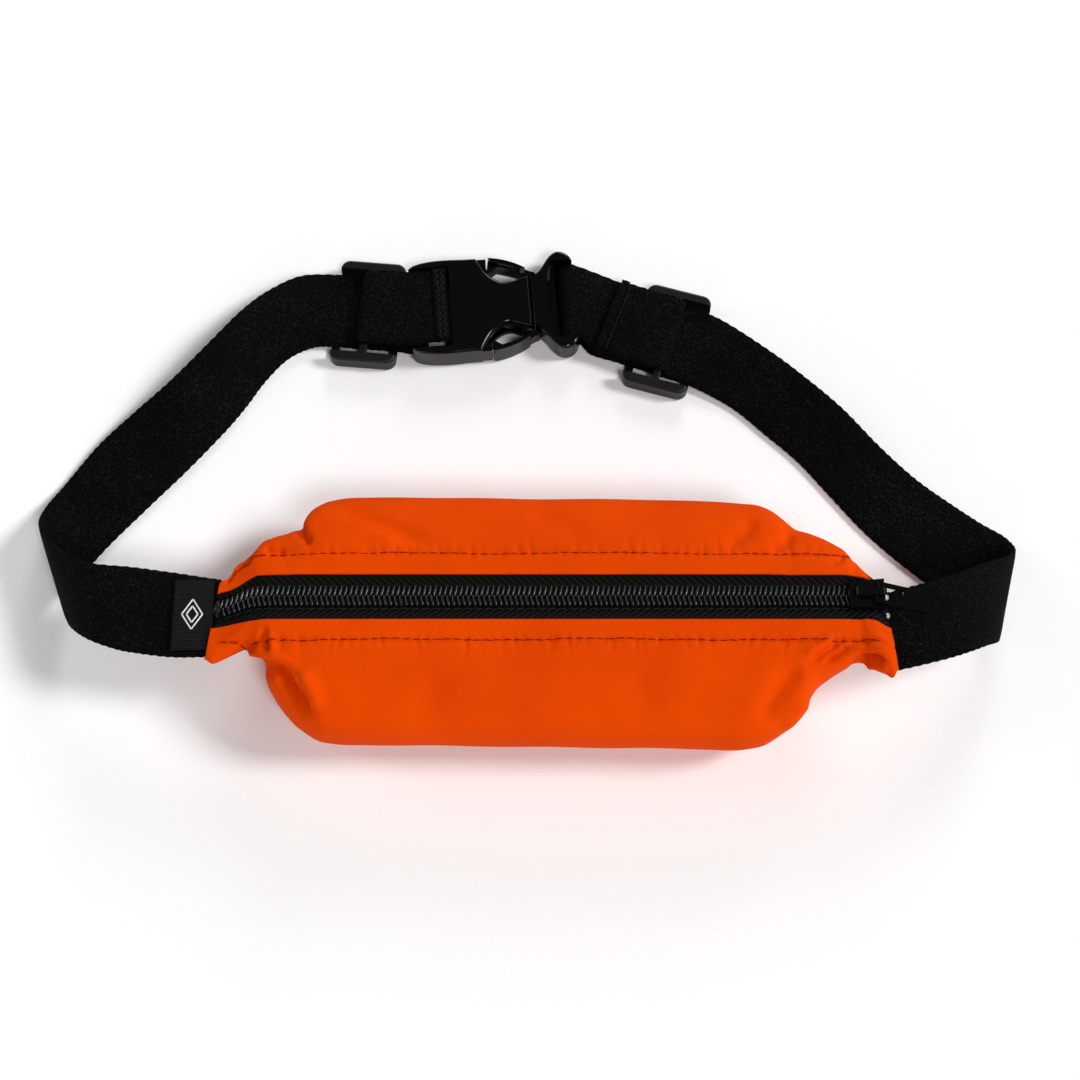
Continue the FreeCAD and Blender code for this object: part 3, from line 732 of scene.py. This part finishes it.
# ---- webbing ----------------------------------------------------------------------------
# Places: the point where along and across are 0, and the direction of along in degrees
LEFT_ADJ = ((-57.8, 110.2), -5.0)
RIGHT_ADJ = ((37.3, 100.5), -16.0)
RIGHT_WEB = ((37.3, 100.5), -20.5)  # the right adjuster lies askew on its webbing
BUCKLE = ((-45.0, 109.2), 4.5)
ADJ_WEB_V = 1.0                     # how far the webbing lies off the adjusters' middle
FEMALE_WEB_V = 0.8                  # and off the female half's
Z_MAIN, Z_LOOP, Z_FLAP = 2.2, 3.6, 6.6      # height of each layer of webbing in an adjuster

# Half turns round a bar: its place along, how far out and up the webbing goes, and its middle height
FEMALE_BAR, MALE_BAR = 2.5, 51.4
BUCKLE_REACH, BUCKLE_RISE, BUCKLE_LEVEL = 2.85, 2.75, 3.65
ADJ_BAR = 0.1
ADJ_REACH, ADJ_RISE, ADJ_LEVEL = 2.4, 1.5, 5.1
TURN_STEPS = 8


def at_place(place, along, across, z):
    (x, y), turn = place
    cos, sin = math.cos(math.radians(turn)), math.sin(math.radians(turn))
    return (x + along * cos - across * sin, y + along * sin + across * cos, z)


def crossing(place, along, z, middle=0.0):
    """The webbing's two edges where it crosses a place."""
    return (at_place(place, along, middle + WEB_HALF, z), at_place(place, along, middle - WEB_HALF, z))


# The webbing's far and near edge, from the pouch's end seam to the adjuster
LEFT_RUN = [
    ((-95.4, 8.6, 28.5), (-95.4, -15.0, 28.5)),
    ((-98.4, 9.0, 28.3), (-98.4, -15.0, 28.3)),
    ((-110.0, 11.0, 28.0), (-108.0, -15.0, 28.0)),
    ((-122.0, 13.0, 27.3), (-118.0, -13.6, 27.3)),
    ((-135.0, 15.0, 26.0), (-126.0, -11.6, 26.0)),
    ((-145.0, 21.0, 22.0), (-135.5, -6.5, 22.0)),
    ((-153.0, 31.0, 15.0), (-142.8, 2.5, 13.0)),
    ((-154.2, 41.0, 6.5), (-144.0, 15.0, 4.6)),
    ((-149.5, 51.0, 2.4), (-136.5, 29.0, 1.0)),
    ((-140.0, 64.0, 3.4), (-124.0, 43.5, 1.0)),
    ((-129.0, 74.0, 6.5), (-113.0, 55.8, 1.0)),
    ((-117.6, 82.3, 12.0), (-102.6, 68.3, 1.0)),
    ((-106.6, 93.2, 15.0), (-95.8, 77.8, 1.0)),
    ((-96.2, 104.8, 16.0), (-90.0, 87.2, 1.0)),
    ((-88.4, 114.4, 12.0), (-83.4, 94.8, 1.2)),
    ((-79.4, 122.4, 6.5), (-76.0, 98.8, 1.6)),
]
RIGHT_RUN = [
    ((95.4, 4.6, 28.5), (95.4, -19.0, 28.5)),
    ((98.4, 4.8, 28.3), (98.4, -19.2, 28.3)),
    ((113.5, 9.5, 27.4), (114.5, -15.0, 27.4)),
    ((128.0, 16.4, 22.5), (126.0, -9.6, 22.5)),
    ((138.6, 23.0, 14.0), (132.0, -4.0, 13.0)),
    ((139.0, 31.0, 6.0), (130.0, 4.5, 4.6)),
    ((132.0, 37.5, 2.8), (122.0, 12.0, 1.4)),
    ((123.0, 44.4, 2.6), (109.5, 22.6, 1.0)),
    ((113.0, 52.3, 3.2), (97.4, 34.3, 1.0)),
    ((102.4, 62.5, 5.0), (87.3, 46.6, 1.0)),
    ((91.6, 74.4, 7.0), (77.7, 58.6, 1.0)),
    ((81.4, 84.2, 7.6), (67.6, 68.4, 1.0)),
    ((70.0, 95.0, 6.4), (57.6, 77.6, 1.2)),
]


def half_turn(place, bar, reach, rise, level, start, end, shift=0.0):
    """Crossings round a bar, from one angle to another."""
    out = []
    for i in range(TURN_STEPS + 1):
        a = math.radians(start + (end - start) * i / TURN_STEPS)
        out.append(crossing(place, bar + reach * math.cos(a), level + rise * math.sin(a), shift))
    return out


def buckle_turn(bar, start, end, shift=0.0):
    return half_turn(BUCKLE, bar, BUCKLE_REACH, BUCKLE_RISE, BUCKLE_LEVEL, start, end, shift)


def adjuster_turn(place, bar, start, end):
    return half_turn(place, bar, ADJ_REACH, ADJ_RISE, ADJ_LEVEL, start, end, ADJ_WEB_V)


def left_adj(along, z):
    return crossing(LEFT_ADJ, along, z, ADJ_WEB_V)


def right_at(along, z):
    return crossing(RIGHT_WEB, along, z, ADJ_WEB_V)


def at_right_bar(along, z):
    return crossing(RIGHT_ADJ, along, z, ADJ_WEB_V)


def on_female(along, z):
    return crossing(BUCKLE, along, z, FEMALE_WEB_V)


def on_male(along, z):
    return crossing(BUCKLE, along, z)


def left_route():
    """From the pouch under the adjuster, round the female half's bar and back to the adjuster."""
    run = LEFT_RUN + [left_adj(-11, Z_MAIN), left_adj(0, Z_MAIN), left_adj(10.8, Z_MAIN)]
    run += [on_female(0.9, 1.0)] + buckle_turn(FEMALE_BAR, -90, 90, FEMALE_WEB_V)
    return run + [left_adj(9.5, 5.2), left_adj(5.5, Z_LOOP), left_adj(2.6, Z_LOOP)]


def left_flap_route():
    """Round the adjuster's bar to the hemmed end."""
    run = [left_adj(2.3, Z_LOOP), left_adj(0.6, Z_LOOP)]
    run += adjuster_turn(LEFT_ADJ, -ADJ_BAR, 270, 90)
    return run + [left_adj(5.0, Z_FLAP), left_adj(10.5, 7.3), on_female(2.5, 8.0), on_female(8, 8.0),
                  on_female(12.9, 7.9)]


def right_route():
    """From the pouch under the adjuster, round the male half's bar and back to the adjuster."""
    run = RIGHT_RUN + [right_at(13, Z_MAIN), right_at(2, Z_MAIN), right_at(-11.5, Z_MAIN)]
    run += [right_at(-21, 1.6), on_male(54.2, 1.0)] + buckle_turn(MALE_BAR, 270, 90)
    return run + [on_male(54.2, 6.2), right_at(-21, 4.7), right_at(-11, Z_LOOP), at_right_bar(-2.6, Z_LOOP)]


def right_flap_route():
    """Round the adjuster's bar to the hemmed end."""
    run = [at_right_bar(-2.3, Z_LOOP), at_right_bar(-0.6, Z_LOOP)]
    run += adjuster_turn(RIGHT_ADJ, ADJ_BAR, -90, 90)
    return run + [at_right_bar(-5, Z_FLAP), right_at(-11, 6.2), right_at(-16, 6.1), right_at(-20, 6.2)]


def smooth_route(points):
    """A Catmull-Rom curve through (n, 2, 3) edge pairs."""
    p = np.asarray(points, float)
    padded = np.concatenate([2 * p[:1] - p[1:2], p, 2 * p[-1:] - p[-2:-1]])
    out = []
    for i in range(len(p) - 1):
        p0, p1, p2, p3 = padded[i:i + 4]
        for k in range(CURVE_STEPS):
            t = k / CURVE_STEPS
            out.append(p1 + 0.5 * t * (p2 - p0) + 0.5 * t * t * (2 * p0 - 5 * p1 + 4 * p2 - p3)
                       + 0.5 * t**3 * (3 * p1 - p0 - 3 * p2 + p3))
    out.append(p[-1])
    return np.array(out)


def even_stations(edges, spacing):
    """Stations respaced evenly along the middle line."""
    middle = edges.mean(axis=1)
    s = np.concatenate([[0], np.cumsum(np.linalg.norm(np.diff(middle, axis=0), axis=1))])
    new = np.linspace(0, s[-1], max(int(s[-1] / spacing), 4))
    flat = edges.reshape(len(edges), 6)
    return np.stack([np.interp(new, s, flat[:, i]) for i in range(6)], 1).reshape(-1, 2, 3), new


ACROSS = 15                         # points across the webbing
CURVE_STEPS = 8                     # stations that the smooth curve adds for each one of a route
SELVEDGE_THIN = 0.40                # how much thinner the webbing is at its edge
SELVEDGE_RIPPLE, RIPPLE_PITCH = 0.13, 1.15


def web_ribbon(name, route, spacing=0.8, thick=WEB_THICK):
    """Webbing with a thinner, rippled selvedge: a closed strip with two faces."""
    edges, s = even_stations(smooth_route(route), spacing)
    middle = edges.mean(axis=1)
    run = np.gradient(middle, axis=0)
    cross = edges[:, 0] - edges[:, 1]
    width = np.linalg.norm(cross, axis=1)
    up = np.cross(run, cross)
    up /= np.linalg.norm(up, axis=1)[:, None]
    cross /= width[:, None]
    v = np.linspace(-1, 1, ACROSS)
    half = width[:, None] / 2 * v[None, :]
    thickness = thick / 2 * (1 - SELVEDGE_THIN * np.abs(v) ** 12)
    ripple = SELVEDGE_RIPPLE * np.sin(2 * math.pi * s / RIPPLE_PITCH)
    edge = np.abs(v) ** 8
    sheet = middle[:, None] + cross[:, None] * (half + ripple[:, None] * edge * np.sign(v))[..., None]
    lift = up[:, None] * thickness[None, :, None]
    around = np.concatenate([sheet + lift, (sheet - lift)[:, ::-1]], axis=1)
    columns = around.shape[1]
    faces = grid_faces(len(s), columns, close_columns=True)
    faces.append(tuple(range(columns)))
    faces.append(tuple(range((len(s) - 1) * columns, len(s) * columns))[::-1])
    obj = mesh_object(name, around.reshape(-1, 3), faces)
    lay_uv(obj, "knit", s / WEB_UV, np.concatenate([v, v[::-1]]) * WEB_HALF / WEB_UV)
    dress(obj, "web")
    return obj


left_web = web_ribbon("left_webbing", left_route())
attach(left_web, "root")
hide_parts("left_strap")
left_flap = web_ribbon("left_webbing_end", left_flap_route())
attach(left_flap, "adjuster_left")
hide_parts("left_strap_flap")
right_flap = web_ribbon("right_webbing_end", right_flap_route())
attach(right_flap, "adjuster_right")
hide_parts("right_strap_flap")
right_web = web_ribbon("right_webbing", right_route())
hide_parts("right_strap_run", "right_strap_loop")
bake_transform(right_web)


HEM_LIFT = 0.95                     # height of the folded layer over the webbing's middle
HEM_THICK = 0.9
HEM_THREAD = 0.13


def hem_fold(name, body, end, inner, wide):
    """The end of the webbing folded back on top of itself."""
    away, toward = np.array(end), np.array(inner)
    gap = toward.mean(axis=0) - away.mean(axis=0)
    fold = (toward - away) * (wide / math.hypot(gap[0], gap[1]))
    route = [away + [0, 0, HEM_LIFT], away + fold * 0.5 + [0, 0, HEM_LIFT + 0.1],
             away + fold + [0, 0, HEM_LIFT]]
    obj = web_ribbon(name, route, spacing=0.4, thick=HEM_THICK)
    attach(obj, body)


def cross_stitches(name, body, end, inner, offsets, length, zigzag, height):
    """Short threads in rows across the webbing, straight or zigzag."""
    rng = np.random.default_rng(3)
    far, near = np.array(end)
    middle = (far + near) / 2
    across = (far - near) / np.linalg.norm(far - near)
    run = np.array(inner).mean(axis=0) - middle
    run /= np.linalg.norm(run)
    parts = []
    for offset in offsets:
        v, k = -WEB_HALF + 1.0, 0
        while v < WEB_HALF - 1.4:
            step = length * rng.uniform(0.85, 1.15)
            a, b = (0.0, zigzag) if k % 2 == 0 else (zigzag, 0.0)
            path = []
            for t in np.linspace(0, 1, 5):
                rise = height + 0.16 * math.sin(math.pi * t)
                forward = offset + a + (b - a) * t
                path.append(middle + across * (v + step * 0.8 * t) + run * forward + [0, 0, rise])
            parts.append(tube_mesh(path, HEM_THREAD, 6))
            v += step
            k += 1
    obj = joined(name, parts)
    dress(obj, "black_thread")
    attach(obj, body)


LEFT_END, LEFT_INNER = on_female(12.9, 7.9), on_female(2.5, 8.0)
RIGHT_END, RIGHT_INNER = right_at(-20, 6.2), right_at(-11, 6.2)
hem_fold("left_hem", "adjuster_left", LEFT_END, LEFT_INNER, 4.4)
hem_fold("right_hem", "adjuster_right", RIGHT_END, RIGHT_INNER, 2.6)
cross_stitches("left_hem_stitches", "adjuster_left", LEFT_END, LEFT_INNER, (0.9, 2.5), 1.1, 1.0, 1.42)
cross_stitches("right_hem_stitches", "adjuster_right", RIGHT_END, RIGHT_INNER, (3.1,), 1.5, 0.12, 0.66)


DIAMOND = [(0, 4.6), (3.0, 0), (0, -4.6), (-3.0, 0), (0, 4.6)]
MARK_THREAD = 0.26
BORDER_PITCH = 1.6
BORDER_THREAD = 0.14


def make_label():
    """The woven side label, with a plain stitched border and a generic diamond."""
    low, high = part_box("side_label")
    x0, x1, y0, y1, top = low.x / MM, high.x / MM, low.y / MM, high.y / MM, high.z / MM
    rows, cols = 40, 24
    xs, ys = np.linspace(x0, x1 + 0.4, cols), np.linspace(y0, y1, rows)
    points = []
    for y in ys:
        for x in xs:
            wave = 0.10 * math.sin(y / 2.6 + x / 4.0) - 0.25 * ((y - (y0 + y1) / 2) / 11) ** 2
            points.append((x, y, top - 0.1 + wave - 0.25 * float(ease((x0 + 1.2 - x) / 1.2))))
    obj = mesh_object("side_label_cloth", points, grid_faces(rows, cols))
    thicken(obj, "label_thickness", 0.35, 1.0)
    dress(obj, "label")
    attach(obj, "root")
    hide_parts("side_label")
    middle = Vector(((x0 + x1) / 2, (y0 + y1) / 2, top + 0.12))
    t = np.linspace(0, 1, 8)
    parts = []
    for scale in (1.0, 0.55):
        for (ax, ay), (bx, by) in zip(DIAMOND, DIAMOND[1:]):
            xs, ys = middle.x + scale * (ax + (bx - ax) * t), middle.y + scale * (ay + (by - ay) * t)
            parts.append(tube_mesh(np.stack([xs, ys, np.full(len(t), middle.z)], 1), MARK_THREAD, 6))
    mark = joined("label_diamond", parts)
    dress(mark, "label_mark")
    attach(mark, "root")
    border = []
    x, low, high = x0 + 1.0, middle.z - 0.12, middle.z
    for y in np.arange(y0 + 0.8, y1 - 1.2, BORDER_PITCH):
        border.append(tube_mesh([(x, y, low), (x, y + 0.5, high), (x, y + 1.0, low)], BORDER_THREAD, 6))
    low, high = middle.z - 0.35, middle.z - 0.2
    for y in (y0 + 0.7, y1 - 0.7):
        for x in np.arange(x0 + 1.2, x1 - 1.0, BORDER_PITCH):
            border.append(tube_mesh([(x, y, low), (x + 0.5, y, high), (x + 1.0, y, low)], BORDER_THREAD, 6))
    stitches = joined("label_border", border)
    dress(stitches, "black_thread")
    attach(stitches, "root")


make_label()


# ---- hard parts: CAD nodes kept, with better finishes -----------------------------------
KEPT_NODES = {
    "buckle": ("buckle_female", "buckle_male", "upper_prong", "lower_prong"),
    "adjuster": ("left_adjuster", "right_adjuster"),
    "lacquer": ("slider_body", "slider_bail"),
    "tab": ("pull_tab",),
}
for material, names in KEPT_NODES.items():
    for name in names:
        dress(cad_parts[name], material)


# ---- stage, lights and camera -----------------------------------------------------------
def make_floor():
    """A wide white floor, just under the object."""
    size = 3000
    corners = [(-size, -size, 0), (size, -size, 0), (size, size, 0), (-size, size, 0)]
    floor = mesh_object("floor", corners, [(0, 1, 2, 3)], smooth=False)
    floor.location.z = -0.0002
    floor.data.materials.append(plain_floor())


def soft_sun(name, at, strength, spread):
    """An even light with a soft edge, from the direction of a point."""
    data = bpy.data.lights.new(name, "SUN")
    data.energy = strength
    data.angle = math.radians(spread)
    obj = bpy.data.objects.new(name, data)
    obj.location = at
    obj.rotation_mode = "QUATERNION"
    obj.rotation_quaternion = (-Vector(at)).to_track_quat("-Z", "Y")
    bpy.context.scene.collection.objects.link(obj)


def make_world():
    """A white band along the horizon, dim overhead so that black plastic stays black."""
    world = bpy.data.worlds.new("studio")
    world.use_nodes = True
    tree = world.node_tree
    background = tree.nodes["Background"]
    background.inputs["Strength"].default_value = 1.0
    split = tree.nodes.new("ShaderNodeSeparateXYZ")
    tree.links.new(tree.nodes.new("ShaderNodeTexCoord").outputs["Generated"], split.inputs[0])
    ramp = tree.nodes.new("ShaderNodeValToRGB")
    for element, (position, level) in zip(ramp.color_ramp.elements, ((0.12, 1.0), (0.30, 0.10))):
        element.position = position
        element.color = (level, level, level, 1)
    tree.links.new(split.outputs["Z"], ramp.inputs["Fac"])
    tree.links.new(ramp.outputs["Color"], background.inputs["Color"])
    bpy.context.scene.world = world


CAMERA_DISTANCE = 0.640
CAMERA_AIM = Vector((-0.003, 0.029, 0.010))
CAMERA_LENS = 70.67


def make_camera():
    """A camera LOOK above the table, in front of the pouch."""
    data = bpy.data.cameras.new("camera")
    data.lens = CAMERA_LENS
    data.sensor_width = 36.0
    data.clip_start = 0.01
    data.clip_end = 20.0
    camera = bpy.data.objects.new("camera", data)
    back = Vector((0, -LOOK_Z, LOOK_Y))
    camera.location = CAMERA_AIM + back * CAMERA_DISTANCE
    camera.rotation_mode = "QUATERNION"
    camera.rotation_quaternion = (-back).to_track_quat("-Z", "Y")
    bpy.context.scene.collection.objects.link(camera)
    bpy.context.scene.camera = camera


make_floor()
make_world()
soft_sun("key", (0.85, 0.05, 0.75), 1.95, 15)
soft_sun("front_key", (0.30, -0.62, 0.95), 1.20, 16)
soft_sun("back_light", (0.20, 0.95, 0.50), 0.80, 20)
soft_sun("left_light", (-0.85, 0.25, 0.55), 0.28, 22)
soft_sun("front_light", (-0.35, -0.95, 0.35), 0.28, 24)
make_camera()
bpy.context.scene.view_settings.view_transform = "Standard"
